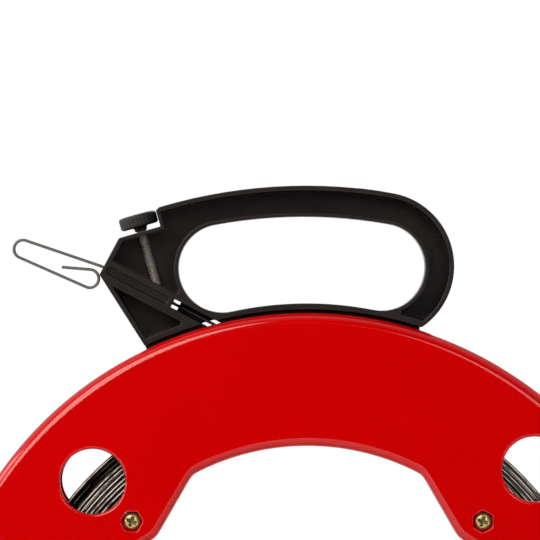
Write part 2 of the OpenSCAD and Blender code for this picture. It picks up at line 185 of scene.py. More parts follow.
class FT_clamp(bpy.types.PropertyGroup):
    tilt: turn("Tilt", "Tilt of the clamp screw from the vertical", 15.8)
    screw_r: length("Screw radius", "Radius of the clamp screw", 1.89)
    pitch: length("Thread pitch", "Pitch of the clamp screw's thread", 0.7)
    thread_depth: length("Thread depth", "Depth of the clamp screw's thread", 0.3)
    plain: length("Plain shank", "Length without thread below the ledge", 4.4)
    knob_r: length("Knob radius", "Radius of the knob", 7.7)
    knob_t: length("Knob thickness", "Thickness of the knob", 5.5)
    knob_lift: length("Knob lift", "Height of the knob above the ledge", 2.1)
    knob_edge: length("Knob edge", "Rounding of the knob's edges", 1.1)
    knob_crown: length("Knob crown", "How much the middle of the knob is raised", 0.4)
    knob_skin: length("Knob skin", "Plastic over the end of the screw", 1.6)
    neck_gap: length("Neck gap", "Gap between the knob's neck and the ledge", 0.4)
    neck_r: length("Neck radius", "Radius of the knob's neck", 2.5)
    flare_r: length("Flare radius", "Radius of the neck under the knob", 3.4)
    flare_h: length("Flare height", "Height of the flare under the knob", 1.2)
    flutes: count("Flutes", "Number of shallow flutes round the knob", 30)
    flute_depth: length("Flute depth", "Depth of the knob's flutes", 0.14)
    black: colour("Black", "Colour of the knob", (0.0128, 0.0118, 0.0114))
    steel: colour("Steel", "Colour of the clamp screw", (0.20, 0.185, 0.17))
    bright: colour("Bright steel", "Colour of the pad and the rivet", (0.45, 0.44, 0.42))


class FT_stage(bpy.types.PropertyGroup):
    floor_r: length("Floor radius", "Radius of the floor", 1600)
    floor_t: length("Floor thickness", "Thickness of the floor", 1)
    distance: length("Camera distance", "Distance from the camera to the reel", 3000)
    view_w: length("View width", "Width of the view at the reel", 216)
    view_x: position("View centre X", "X of the middle of the view", -14.87)
    view_y: length("View plane", "Distance from the reel's middle to the plane of the width", 10)
    view_z: position("View centre Z", "Z of the middle of the view", 167.14)
    floor: colour("Floor", "Colour of the floor", (0.82, 0.82, 0.81))
    warm: colour("Warm light", "Colour of the two softboxes on the left", (1.0, 0.91, 0.82))


SETTINGS = {
    "case": FT_case, "screws": FT_screws, "tape": FT_tape,
    "handle": FT_handle, "clamp": FT_clamp, "stage": FT_stage,
}


def sizes(group):
    """The property group of this name on the scene."""
    return getattr(bpy.context.scene, "fish_tape_" + group)


# ---------- mesh tools ----------

def finish_mesh(name, vertices, faces, smooth_angle=35):
    """A mesh object with outward normals and sharp edges above an angle."""
    mesh = bpy.data.meshes.new(name)
    mesh.from_pydata(vertices, [], faces)
    work = bmesh.new()
    work.from_mesh(mesh)
    bmesh.ops.remove_doubles(work, verts=work.verts, dist=1e-7)
    bmesh.ops.recalc_face_normals(work, faces=work.faces)
    work.to_mesh(mesh)
    work.free()
    mesh.shade_smooth()
    mesh.set_sharp_from_angle(angle=math.radians(smooth_angle))
    piece = bpy.data.objects.new(name, mesh)
    bpy.context.scene.collection.objects.link(piece)
    return piece


def tube(name, rings, loop=False, smooth_angle=35):
    """Skin over rings of points: quads join each point to the next on its ring and on the next
    ring. Without loop, the first and last rings are closed with one flat face each."""
    count, around = rings.shape[:2]
    index = np.arange(count * around).reshape(count, around)
    near = index if loop else index[:-1]
    far = np.roll(index, -1, axis=0) if loop else index[1:]
    quads = np.stack([near, np.roll(near, -1, axis=1), np.roll(far, -1, axis=1), far], axis=-1)
    faces = quads.reshape(-1, 4).tolist()
    if not loop:
        faces += [index[0][::-1].tolist(), index[-1].tolist()]
    return finish_mesh(name, rings.reshape(-1, 3).tolist(), faces, smooth_angle)


def circle_angles(count):
    """Angles that divide a full turn into equal steps."""
    return np.linspace(0, 2 * np.pi, count, endpoint=False)


def edge_attribute(piece, section, painted_shade):
    """Stores on every point of a strip how near it lies to the middle of an edge, where the painted
    highlight goes: one minus the distance from the strip's middle plane over half the thickness,
    and 0 on the flat sides. Also stores how much painted shade darkens each ring of the strip."""
    half_t, half_w = np.abs(section).max(axis=0)
    edge_depth = 0.6 * MM
    near = 1 - np.abs(section[:, 0]) / half_t
    near = np.where(np.abs(section[:, 1]) > half_w - edge_depth, near, 0.0)
    point_attribute(piece, "edge", np.tile(near, len(painted_shade)))
    point_attribute(piece, "painted_shade", np.repeat(painted_shade, len(near)))


def point_attribute(piece, name, values):
    """Stores one number for every point of a piece."""
    made = piece.data.attributes.new(name, "FLOAT", "POINT")
    made.data.foreach_set("value", np.ravel(values).astype(np.float32))


def placed(rings, origin, right, up):
    """Local points (x, y, height) carried to origin + x right + y (up x right) + height up."""
    right, up = np.asarray(right, float), np.asarray(up, float)
    basis = np.stack([right, np.cross(up, right), up])
    return np.asarray(origin) + rings @ basis


def turned_points(r, a, h):
    """Points at radius r, angle a and height h: (r cos a, r sin a, h)."""
    return np.stack(np.broadcast_arrays(r * np.cos(a), r * np.sin(a), h), axis=-1)


def lathe_rings(profile, angles, radial=None):
    """Rings of a turned surface: each station (r, h) is carried round all the angles, with r
    changed by radial(r, h, angle) where it is given."""
    r, h = profile[:, :1], profile[:, 1:]
    if radial is not None:
        r = radial(r, h, angles)
    return turned_points(r, angles, h)


def arc(centre, radius, start, end, steps):
    """Points on an arc: centre + radius (cos a, sin a), for a from start to end in degrees."""
    a = np.radians(np.linspace(start, end, steps + 1))
    return np.asarray(centre) + radius * np.stack([np.cos(a), np.sin(a)], axis=-1)


def steps_between(start, end, count):
    """Points that divide a straight line evenly, without its two ends."""
    t = np.linspace(0, 1, count + 2)[1:-1, None]
    return np.asarray(start) * (1 - t) + np.asarray(end) * t


def applied(piece):
    """Turns a piece's modifiers into its mesh."""
    evaluated = piece.evaluated_get(bpy.context.evaluated_depsgraph_get())
    mesh = bpy.data.meshes.new_from_object(evaluated)
    piece.modifiers.clear()
    piece.data = mesh
    return piece


def cut(piece, cutters):
    """Subtracts the cutters from a piece, applies the cuts and removes the cutters."""
    for cutter in cutters:
        modifier = piece.modifiers.new("cut", "BOOLEAN")
        modifier.object = cutter
        modifier.solver = "EXACT"
    applied(piece)
    for cutter in cutters:
        bpy.data.objects.remove(cutter)
    piece.data.shade_smooth()
    piece.data.set_sharp_from_angle(angle=math.radians(35))


def even_normals(piece):
    """Shades each rounded edge from the large faces beside it."""
    modifier = piece.modifiers.new("normals", "WEIGHTED_NORMAL")
    modifier.keep_sharp = True
    modifier.weight = 80


def rounded_copy(node, name, width, segments=3):
    """A copy of a frame node with merged points, flat faces joined and its edges rounded."""
    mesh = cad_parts[node].data.copy()
    work = bmesh.new()
    work.from_mesh(mesh)
    bmesh.ops.remove_doubles(work, verts=work.verts, dist=2e-6)
    bmesh.ops.dissolve_limit(work, angle_limit=math.radians(0.8), verts=work.verts, edges=work.edges)
    work.to_mesh(mesh)
    work.free()
    mesh.materials.clear()
    mesh.shade_smooth()
    piece = bpy.data.objects.new(name, mesh)
    bpy.context.scene.collection.objects.link(piece)
    bevel = piece.modifiers.new("rounding", "BEVEL")
    bevel.width = width
    bevel.segments = segments
    bevel.limit_method = "ANGLE"
    bevel.angle_limit = math.radians(32)
    bevel.use_clamp_overlap = False
    bevel.harden_normals = True
    applied(piece)
    piece.data.shade_smooth()
    piece.data.set_sharp_from_angle(angle=math.radians(40))
    even_normals(piece)
    return piece


def hand_over(piece, body, slot, finish, *nodes):
    """Gives a piece its finish and its body, and hides the nodes it stands for. The slot is not used."""
    piece.data.materials.clear()
    piece.data.materials.append(finish)
    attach(piece, body)
    if nodes:
        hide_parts(*nodes)


# ---------- shader tools ----------

class Value:
    """A node's output. Sums, differences and products of values add Math nodes."""

    def __init__(self, finish, socket):
        self.finish = finish
        self.socket = socket

    def math(self, operation, a, b):
        return self.finish.node("ShaderNodeMath", {"operation": operation}, {0: a, 1: b})

    def __add__(self, other):
        return self.math("ADD", self, other)

    def __radd__(self, other):
        return self.math("ADD", other, self)

    def __sub__(self, other):
        return self.math("SUBTRACT", self, other)

    def __rsub__(self, other):
        return self.math("SUBTRACT", other, self)

    def __mul__(self, other):
        return self.math("MULTIPLY", self, other)

    def __rmul__(self, other):
        return self.math("MULTIPLY", other, self)


class Finish:
    """A node material that is put together from values."""

    def __init__(self, name, **constants):
        self.material = bpy.data.materials.new(name)
        self.material.use_nodes = True
        self.tree = self.material.node_tree
        self.shader = self.tree.nodes["Principled BSDF"]
        for socket, value in constants.items():
            self.shader.inputs[socket.replace("_", " ")].default_value = value

    def node(self, kind, settings=None, inputs=None, output=0):
        """Adds a node, sets its properties, then fills its sockets with numbers or values."""
        made = self.tree.nodes.new(kind)
        for key, value in (settings or {}).items():
            setattr(made, key, value)
        for key, value in (inputs or {}).items():
            if isinstance(value, Value):
                self.tree.links.new(value.socket, made.inputs[key])
            else:
                made.inputs[key].default_value = value
        return Value(self, made.outputs[output])

    def place(self):
        """Object coordinates, in metres."""
        return self.node("ShaderNodeTexCoord", output="Object")

    def attribute(self, name):
        """A number stored on the piece's points."""
        return self.node("ShaderNodeAttribute", {"attribute_name": name}, output=2)

    def noise(self, size, detail=2.0, stretch=(1, 1, 1)):
        """Noise from 0 to 1 with features of this size in metres, longer along stretched axes."""
        scale = tuple(1 / (size * s) for s in stretch)
        spread = self.node("ShaderNodeMapping", inputs={"Vector": self.place(), "Scale": scale})
        return self.node("ShaderNodeTexNoise", inputs={"Vector": spread, "Scale": 1.0, "Detail": detail})

    def band(self, value, low, high):
        """0 below low, 1 above high and smooth between."""
        inputs = {"Value": value, "From Min": low, "From Max": high}
        return self.node("ShaderNodeMapRange", {"interpolation_type": "SMOOTHSTEP"}, inputs)

    def mixed(self, factor, a, b):
        """Colour a where factor is 0 and b where it is 1."""
        a, b = (c if isinstance(c, Value) else (*c, 1) for c in (a, b))
        return self.node("ShaderNodeMix", {"data_type": "RGBA"}, {0: factor, 6: a, 7: b}, output=2)

    def feed(self, **links):
        """Links values to the shader's sockets."""
        for socket, value in links.items():
            self.tree.links.new(value.socket, self.shader.inputs[socket.replace("_", " ")])
        return self

    def bump(self, height, distance, strength=1.0):
        """Feeds the normal from a height that is worth this distance in metres."""
        inputs = {"Height": height, "Distance": distance, "Strength": strength}
        return self.feed(Normal=self.node("ShaderNodeBump", inputs=inputs))


def shade(colour_value, factor):
    """A colour made darker or lighter by a number."""
    return tuple(min(1.0, c * factor) for c in colour_value)


def red_moulding(base):
    """Glossy red moulded plastic: faint flow marks, orange peel and fine handling scratches."""
    made = Finish("red_moulding", IOR=1.46)
    flow = made.noise(0.045, 3.0)
    peel = made.noise(0.0032, 2.0)
    scratch = made.band(made.noise(0.00045, 2.0, stretch=(14, 1, 1)), 0.66, 0.74)
    scuff = made.band(made.noise(0.02, 4.0), 0.55, 0.75)
    made.feed(
        Base_Color=made.mixed(flow, shade(base, 0.94), shade(base, 1.05)),
        Roughness=0.075 + 0.03 * flow + 0.12 * scratch * scuff,
    )
    return made.bump(peel - 0.25 * scratch * scuff, 0.000012, 0.5).material


def black_moulding(name, base, grain, rough, depth):
    """Satin black moulded plastic: fine spark-eroded grain with duller and brighter patches."""
    made = Finish(name, IOR=1.45, Specular_IOR_Level=0.26)
    fine = made.noise(grain, 3.0)
    patch = made.noise(0.012, 4.0)
    speck = made.band(made.noise(grain * 2.5, 1.0), 0.45, 0.75)
    tone = 0.5 * patch + 0.5 * fine
    made.feed(
        Base_Color=made.mixed(tone, shade(base, 0.35), shade(base, 1.65)),
        Roughness=rough + 0.14 * (patch - 0.5) - 0.05 * speck,
    )
    return made.bump(fine + 0.5 * speck, depth, 0.6).material


def rolled_steel(name, base, bright, shine):
    """Rolled spring steel: dark tempered flanks with streaks, and a painted highlight along each edge
    that turns bright towards the middle of the edge, broken up by dark spots along the strip. Turns
    under painted shade are nearly black all over."""
    made = Finish(name)
    streak = made.noise(0.0012, 3.0)
    temper = made.noise(0.03, 3.0)
    spots = made.band(made.noise(0.004, 4.0), 0.30, 0.55)
    edge = made.attribute("edge")
    # painted highlight: a bright, less metallic stripe along the middle of each rounded edge stands in for
    # lamp light glinting there
    painted_highlight = made.band(edge, 0.62, 0.98) * spots
    metal = 0.75 - shine * painted_highlight
    flank = made.mixed(temper, shade(base, 0.8), (base[0] * 1.1, base[1] * 0.97, base[2] * 0.82))
    strip = made.mixed(painted_highlight, flank, bright)
    # painted shade: turns lying in shadow are mixed towards a near-black colour and made fully metallic
    painted_shade = made.attribute("painted_shade")
    dark = (base[0] * 0.05, base[1] * 0.02, base[2] * 0.03)
    made.feed(
        Base_Color=made.mixed(painted_shade, strip, dark),
        Metallic=metal + (1 - metal) * painted_shade,
        Roughness=0.34 + 0.14 * streak - 0.08 * painted_highlight + 0.12 * painted_shade,
    )
    return made.bump(streak, 0.00001, 0.5).material


def zinc_plate(base):
    """Yellow zinc plating: patches from straw to olive with some pink, painted shade in dark olive down in
    the cross recess, and fine pits."""
    made = Finish("yellow_zinc", Metallic=0.8)
    patch = made.noise(0.0016, 2.0)
    warm = made.mixed(patch, (base[0] * 0.80, base[1] * 0.95, base[2] * 0.75), shade(base, 1.1))
    pink = made.band(made.noise(0.0023, 1.0), 0.50, 0.66)
    tinted = made.mixed(pink * 0.5, warm, (0.62, 0.36, 0.24))
    pits = made.noise(0.0003, 3.0)
    # painted shade: the cross recess is mixed towards dark olive, most where it is deepest
    recess = made.band(made.attribute("recess"), 0.15, 0.75)
    made.feed(
        Base_Color=made.mixed(recess * (0.75 + 0.25 * pits), tinted, (0.06, 0.065, 0.012)),
        Roughness=0.24 + 0.12 * pits,
    )
    return made.bump(pits, 0.000008, 0.5).material


def bare_steel(name, base, rough, metal=1.0):
    """Oiled steel: mottled dark patches, fine turning grain and small bright specks."""
    made = Finish(name, Metallic=metal)
    mottle = made.noise(0.0011, 4.0)
    speck = made.band(made.noise(0.0004, 2.0), 0.60, 0.75)
    made.feed(
        Base_Color=made.mixed(mottle, shade(base, 0.55), shade(base, 1.5)),
        Roughness=rough + 0.16 * mottle - 0.08 * speck,
    )
    return made.bump(mottle, 0.00002, 0.5).material


def floor_paint(base):
    """Matt pale floor with a faint unevenness."""
    made = Finish("pale_floor", Roughness=0.75)
    cloud = made.noise(0.3, 3.0)
    made.feed(Base_Color=made.mixed(cloud, shade(base, 0.985), base))
    return made.bump(made.noise(0.004, 3.0), 0.0001, 0.2).material


# ---------- case ----------

def polar(number, from_vertical):
    """Polar angle of feature 1 to 4, from upper left on clockwise."""
    upright = math.pi / 2
    return (upright + from_vertical, upright - from_vertical,
            from_vertical - upright, 3 * upright - from_vertical)[number - 1]


def nut_turn(number):
    """Turn of the hexagons of screw 1 to 4: every second one stands on its corner."""
    return 0 if number % 2 else math.pi / 2


def round_place(distance, angle):
    """X and Z of a point at a distance from the axis and a polar angle."""
    return distance * math.cos(angle), distance * math.sin(angle)


def opening_radius(theta, c):
    """Radius of the central opening at an angle: the circle, or on a lobe the farther of its two
    flats, a flat being lobe_flat / cos(angle from its normal). Soft limits round the corners."""
    soft = 0.5 * MM
    lobes = np.full_like(theta, np.inf)
    for middle in np.radians([45, 135, 225, 315]):
        reach = [c.lobe_flat / np.maximum(np.cos(theta - middle + s * c.lobe_spread), 0.05) for s in (-1, 1)]
        reach = np.minimum(reach, 2 * REEL_R)
        tip = soft * np.logaddexp(reach[0] / soft, reach[1] / soft) - soft * math.log(2) * 0.5
        lobes = np.minimum(lobes, tip)
    return -soft * np.logaddexp(-c.opening_r / soft, -lobes / soft)


def shell_angles(c):
    """Angles round the case: even steps, with closer ones at the corners of the lobes."""
    side = math.acos(c.lobe_flat / c.opening_r) - c.lobe_spread
    near = np.radians(np.linspace(-1.2, 1.2, 9))
    corners = [q + s * side for q in np.radians([45, 135, 225, 315]) for s in (-1, 0, 1)]
    extra = np.concatenate([corner + near for corner in corners])
    return np.unique(np.round(np.concatenate([circle_angles(360), extra % (2 * np.pi)]), 7))


def shell_profile(c):
    """Stations round the section of a shell as (share of the opening radius, added radius, height)
    rows: opening wall, rounded edge, face, rim, lip, inside, track wall, plate and drum."""
    half, e, rr = HALF_T, c.opening_round, c.rim_round
    plate = half - c.wall
    rim_in = REEL_R - c.wall
    lip, low = c.lip_round, c.rim_gap / 2
    track_in = c.track_r - c.track_t
    bend = (REEL_R - rr, half - rr)
    inner = [(1, 0, c.seam), (1, 0, half / 2)]
    inner += [(1, e + p[0], half - e + p[1]) for p in arc((0, 0), e, 180, 90, 8)]
    fixed = [arc(bend, rr, 90, 0, 12)]
    fixed += [arc((REEL_R - lip, low + lip), lip, 0, -90, 4)]
    fixed += [arc((rim_in + lip, low + lip), lip, -90, -180, 4)]
    fixed += [arc(bend, rr - c.wall, 0, 90, 6), [(c.track_r, plate)]]
    fixed += [arc((c.track_r - lip, c.track_gap + lip), lip, 0, -90, 3)]
    fixed += [arc((track_in + lip, c.track_gap + lip), lip, -90, -180, 3), [(track_in, plate)]]
    fixed += [[(c.drum_r, plate), (c.drum_r, c.seam)]]
    outer = [(0, r, h) for r, h in np.concatenate(fixed)]
    face = [(share, (1 - share) * bend[0] + share * e, half) for share in (0.75, 0.5, 0.25)]
    return np.array(inner + face + outer)


def shell_body(name, side):
    """One shell: every station of the section is carried round the axis, where its radius is its
    share of the opening's radius at that angle plus its added radius; side is -1 for the front."""
    c = sizes("case")
    theta = shell_angles(c)
    rows = shell_profile(c)
    radius = rows[:, :1] * opening_radius(theta, c)[None, :] + rows[:, 1:2]
    height = np.broadcast_to(rows[:, 2:], radius.shape)
    points = np.stack([radius * np.cos(theta), side * height, radius * np.sin(theta)], axis=-1)
    return tube(name, points, loop=True)


def hexagon(angles, flats, corner=0.96):
    """Radius of a hexagon with softened corners: half the flats over the cosine of the angle from
    the nearest flat's normal, blended with a circle at the corners."""
    sector = math.pi / 3
    off = (angles % sector) - sector / 2
    sharp = flats / 2 / np.cos(off)
    limit = flats / 2 / math.cos(sector / 2) * corner
    power = 40.0
    return (sharp ** -power + limit ** -power) ** (-1 / power)


def plug(name, depth_profile, angles, outline, centre, side):
    """A cutter through a face: rings of (grown by, height), each the outline grown by that much."""
    rows = np.array(depth_profile, float)
    radius = outline[None, :] + rows[:, :1]
    height = np.broadcast_to(side * rows[:, 1:], radius.shape)
    x, z = centre[0] + radius * np.cos(angles), centre[1] + radius * np.sin(angles)
    return tube(name, np.stack([x, height, z], axis=-1))


def rounded_mouth(depth, rounding):
    """Profile of a hole whose edge at the face is rounded: growth rounding (1 - cos a) at height
    face - rounding (1 - sin a)."""
    a = np.radians(np.linspace(0, 90, 7))
    curve = np.stack([rounding * (1 - np.cos(a)), HALF_T - rounding * (1 - np.sin(a))], axis=-1)
    above_face = [(rounding + 0.02 * MM, HALF_T + 0.6 * MM)]
    return np.concatenate([[(0.0, HALF_T - depth)], curve, above_face])


def shell_cutters(c, s, side):
    """The plugs that cut the windows, the hexagonal pockets and the screw holes of one shell."""
    overlap = 0.2 * MM
    window_edge, pocket_edge = circle_angles(96), circle_angles(72)
    cutters = []
    for number in QUARTERS:
        distance = (c.window_near, c.window_far)[(number - 1) % 2]
        at = round_place(distance, polar(number, c.window_angle))
        mouth = rounded_mouth(c.wall + 6 * overlap, c.window_round)
        outline = np.full_like(window_edge, c.window_r)
        cutters.append(plug("window", mouth, window_edge, outline, at, side))
        at = round_place(s.circle, polar(number, s.angle))
        mouth = rounded_mouth(s.pocket_depth, s.pocket_round)
        outline = hexagon(pocket_edge - nut_turn(number), s.pocket_flats)
        cutters.append(plug("pocket", mouth, pocket_edge, outline, at, side))
        deep = np.array([(0, 2 * overlap), (0, HALF_T - s.pocket_depth + overlap)])
        outline = np.full_like(pocket_edge, s.hole_r)
        cutters.append(plug("hole", deep, pocket_edge, outline, at, side))
    return cutters


class FT_OT_case(bpy.types.Operator):
    """Builds the two moulded shells with their windows and nut pockets"""
    bl_idname = "fishtape.case"
    bl_label = "Case shells"

    def execute(self, context):
        c, s = sizes("case"), sizes("screws")
        finish = red_moulding(c.red)
        for name, side, node in (("front_case", -1, "front_shell"), ("back_case", 1, "back_shell")):
            shell = shell_body(name, side)
            cut(shell, shell_cutters(c, s, side))
            even_normals(shell)
            hand_over(shell, "reel", "shell_red", finish, node)
        return {"FINISHED"}


# ---------- screws and nuts ----------

def cross_recess(s, r, a):
    """How far a point of the head lies in its cross recess, 0 to 1: it falls off smoothly with the
    distance from the nearer arm over cross_arm and with the radius over cross_r."""
    off = np.minimum(np.abs(r * np.cos(a)), np.abs(r * np.sin(a)))
    return 1 / (1 + (off / s.cross_arm) ** 6) / (1 + (r / s.cross_r) ** 14)


def head_rings(s, turned):
    """Pan head seen as a height over the disc: a dome that falls off steeply at the edge, less the
    cross recess, which is deepest in the middle. Also returns the recess at every point."""
    around = circle_angles(96)
    share = np.linspace(1, 0, 26)[:-1, None]
    r = s.head_r * share
    dome = s.head_t * (1 - 0.60 * share ** 7 - 0.14 * share ** 2)
    inside = cross_recess(s, r, around - turned)
    return turned_points(r, around, dome - inside * s.cross_depth * (1 - 0.75 * share)), inside


def screw_rings(s, turned):
    """Shell screw from the shank's end to the middle of its head, heights from the head's seat,
    and how far each point lies in the cross recess."""
    shank = 2 * HALF_T - s.pocket_depth - s.nut_sink
    around = circle_angles(96)
    start = -shank
    body = np.array([
        (0.05 * MM, start), (s.shank_r - 0.4 * MM, start), (s.shank_r, start + 0.4 * MM),
        (s.shank_r, -0.02 * MM), (s.head_r - 0.15 * MM, 0), (s.head_r, 0.15 * MM),
    ])
    head, inside = head_rings(s, turned)
    inside = np.concatenate([np.zeros((len(body), len(around))), inside])
    return np.concatenate([lathe_rings(body, around), head]), inside


def nut_rings(s, turned):
    """Hexagon nut: the smaller of the hexagon and a chamfer cone at each height, turned inwards
    through a threaded hole whose radius has one wave per pitch."""
    around = circle_angles(144)
    outline = hexagon(around - turned, s.nut_flats, 0.995)
    cone = s.nut_flats / 2 * 0.99
    out = np.array([0, 0.12, 0.35, 0.6, 0.85, 1])[:, None] * s.nut_t
    limit = cone + np.minimum(out, s.nut_t - out) / math.tan(math.radians(28))
    back = np.linspace(s.nut_t, 0, 34)[:, None]
    wave = 0.5 + 0.5 * np.cos(2 * np.pi * back / s.pitch - around)
    mouth = np.clip(1 - 12 * np.minimum(back, s.nut_t - back) / s.nut_t, 0, 1)
    bore = s.shank_r + (0.05 + 0.18 * wave + 0.35 * mouth) * MM
    radius = np.concatenate([np.minimum(outline, limit), bore])
    return turned_points(radius, around, np.concatenate([out, back]))


class FT_OT_fasteners(bpy.types.Operator):
    """Builds the four shell screws and their nuts"""
    bl_idname = "fishtape.fasteners"
    bl_label = "Screws and nuts"

    def execute(self, context):
        s = sizes("screws")
        finish = zinc_plate(s.zinc)
        for number in QUARTERS:
            angle = polar(number, s.angle)
            x, z = round_place(s.circle, angle)
            seat = (x, -(HALF_T - s.pocket_depth), z)
            rings, inside = screw_rings(s, s.cross_turn - angle)
            rings = placed(rings, seat, (1, 0, 0), (0, -1, 0))
            screw = tube(f"case_screw_{number}", rings, smooth_angle=50)
            point_attribute(screw, "recess", inside)
            hand_over(screw, "reel", "screw_zinc", finish, f"shell_screw_{number}")
            base = (x, HALF_T - s.nut_sink - s.nut_t, z)
            rings = placed(nut_rings(s, nut_turn(number)), base, (1, 0, 0), (0, 1, 0))
            nut = tube(f"case_nut_{number}", rings, loop=True, smooth_angle=28)
            hand_over(nut, "reel", "screw_zinc", finish, f"shell_nut_{number}")
        return {"FINISHED"}


# ---------- tape ----------

def strip_section(t):
    """Outline of the strip across its run: a rectangle of thickness by width with round corners,
    as (off the run's side, along the reel's axis) pairs."""
    hx, hy, e = t.thick / 2, t.width / 2, t.edge
    quarters = []
    for sx, sy, start in ((1, 1, 0), (-1, 1, 90), (-1, -1, 180), (1, -1, 270)):
        quarters.append(arc((sx * (hx - e), sy * (hy - e)), e, start, start + 90, 4))
    return np.concatenate([
        quarters[0], [(0, hy)], quarters[1], quarters[2], [(0, -hy)], quarters[3]])


def coil_path(start_r, end_r, turns, t, phase):
    """Spiral of the wound tape. The radius grows by the tape's thickness each turn, plus gaps that
    swell and close: the gap's rate is a mean times one plus two sine waves, so it never falls
    below zero and the turns never cross."""
    steps_per_turn = 120
    n = np.linspace(0, turns, turns * steps_per_turn + 1)
    slow, quick = 0.31, 1.07
    a, b = 0.55, 0.45

    def gap(x):
        wave_slow = a * np.cos(2 * np.pi * (slow * x + phase)) / (2 * np.pi * slow)
        wave_quick = b * np.cos(2 * np.pi * (quick * x + 2 * phase)) / (2 * np.pi * quick)
        return x - wave_slow - wave_quick

    growth = gap(n) - gap(np.zeros(1))
    growth = growth / growth[-1]
    spare = end_r - start_r - turns * t.thick
    radius = start_r + t.thick * n + spare * growth
    return n * 2 * np.pi, radius


def painted_shade_amount(angle, t):
    """How much painted shade darkens a spiral at each angle, 0 to 1: shaded from half a turn up to the
    set number of shaded turns before its outer end, but unshaded where the cosine of the angle from 45
    degrees is high."""
    first, fade = 0.45, 0.15
    from_end = (angle[-1] - angle) / (2 * np.pi)
    painted_shade = np.clip((t.shaded_turns - from_end) / fade, 0, 1) * np.clip((from_end - first) / fade, 0, 1)
    return painted_shade * np.clip(1 - 2 * np.cos(angle - math.pi / 4), 0, 1)


def strip_rings(path, side, section, y):
    """Rings of the strip: each path point moved by the section's offset along the side vector in
    the X-Z plane and by its width along Y."""
    offset = section[None, :, 0]
    x = path[:, :1] + offset * side[:, :1]
    z = path[:, 1:] + offset * side[:, 1:]
    across = np.broadcast_to(y + section[None, :, 1], x.shape)
    return np.stack([x, across, z], axis=-1)


class FT_OT_coils(bpy.types.Operator):
    """Winds the three lanes of tape on the drum"""
    bl_idname = "fishtape.coils"
    bl_label = "Wound tape"

    def execute(self, context):
        t, c = sizes("tape"), sizes("case")
        finish = rolled_steel("rolled_spring_steel", t.steel, t.bright, 0.75)
        section = strip_section(t)
        start_r = c.drum_r + t.coil_clear + t.thick / 2
        middle_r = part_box("tape_coil_middle")[1][0] - t.thick / 2
        lanes = (
            ("wound_tape_front", -1, COIL_R - t.thick / 2, t.outer_turns, 0.12, "tape_coil_front", 200),
            ("wound_tape_middle", 0, middle_r, t.middle_turns, 0.45, "tape_coil_middle", 62),
            ("wound_tape_back", 1, COIL_R - t.thick / 2, t.outer_turns, 0.71, "tape_coil_back", 20),
        )
        for name, lane, end_r, turns, phase, node, end_degrees in lanes:
            angle, radius = coil_path(start_r, end_r, turns, t, phase)
            angle = angle - angle[-1] + math.radians(end_degrees)
            side = np.stack([np.cos(angle), np.sin(angle)], axis=-1)
            rings = strip_rings(radius[:, None] * side, side, section, lane * t.lane_pitch)
            coil = tube(name, rings, smooth_angle=60)
            # marks where the painted highlight and the painted shade go on the coil
            edge_attribute(coil, section, painted_shade_amount(angle, t))
            hand_over(coil, "reel", "tape_steel", finish, node)
        return {"FINISHED"}


def tangent_heading(c1, r1, c2, r2):
    """Direction of the line that passes two circles with both centres on its left."""
    gap = np.subtract(c2, c1)
    distance = math.hypot(*gap)
    return math.atan2(gap[1], gap[0]) + math.asin((r1 - r2) / distance)


def lead_path(t):
    """Middle line of the straight run and the formed eye: a straight line from the coil to the
    nose, a soft kink on a quadratic curve, then tangents joined by two bends. Also returns the
    vector to the right of the way at each point."""
    exit_point, end = np.array(t.nose_exit), np.array(t.eye_end)
    far, near = np.array(t.far_bend), np.array(t.near_bend)
    n_angle = math.atan2(exit_point[1], exit_point[0]) - math.acos(t.run_offset / math.hypot(*exit_point))
    start = t.run_offset * np.array([math.cos(n_angle), math.sin(n_angle)])
    run = n_angle + math.pi / 2
    d1 = tangent_heading(exit_point, 0, far, t.bend_r)
    d2 = tangent_heading(far, t.bend_r, near, t.bend_r)
    d3 = tangent_heading(near, t.bend_r, end, 0)
    right = math.pi / 2
    kink = [exit_point - t.kink_reach * np.array([math.cos(run), math.sin(run)]),
            exit_point + t.kink_reach * np.array([math.cos(d1), math.sin(d1)])]
    far_arc = arc(far, t.bend_r, math.degrees(d1 - right), math.degrees(d2 + 3 * right), 28)
    near_arc = arc(near, t.bend_r, math.degrees(d2 - right), math.degrees(d3 - right), 28)
    share = np.array([[0.25], [0.5], [0.75]])
    soft = (1 - share) ** 2 * kink[0] + 2 * share * (1 - share) * exit_point + share ** 2 * kink[1]
    points = np.concatenate([
        [start], steps_between(start, kink[0], 40), [kink[0]], soft, [kink[1]],
        steps_between(kink[1], far_arc[0], 10), far_arc,
        steps_between(far_arc[-1], near_arc[0], 10), near_arc,
        steps_between(near_arc[-1], end, 4), [end],
    ])
    step = np.gradient(points, axis=0)
    heading = step / np.linalg.norm(step, axis=1, keepdims=True)
    return points, np.stack([heading[:, 1], -heading[:, 0]], axis=-1)


class FT_OT_lead(bpy.types.Operator):
    """Builds the straight run of tape with the formed eye at its end"""
    bl_idname = "fishtape.lead"
    bl_label = "Tape end and eye"

    def execute(self, context):
        t = sizes("tape")
        points, side = lead_path(t)
        section = strip_section(t)
        rings = strip_rings(points, side, section, 0.0)
        lead = tube("tape_end_with_eye", rings, smooth_angle=60)
        edge_attribute(lead, section, np.zeros(len(rings)))
        # the formed end gets a faint painted highlight along its edges and no painted shade
        finish = rolled_steel("formed_spring_steel", t.grey, shade(t.grey, 1.15), 0.1)
        hand_over(lead, "tape", "tape_steel", finish, "tape_lead")
        return {"FINISHED"}


# ---------- handle, ring and clamp ----------

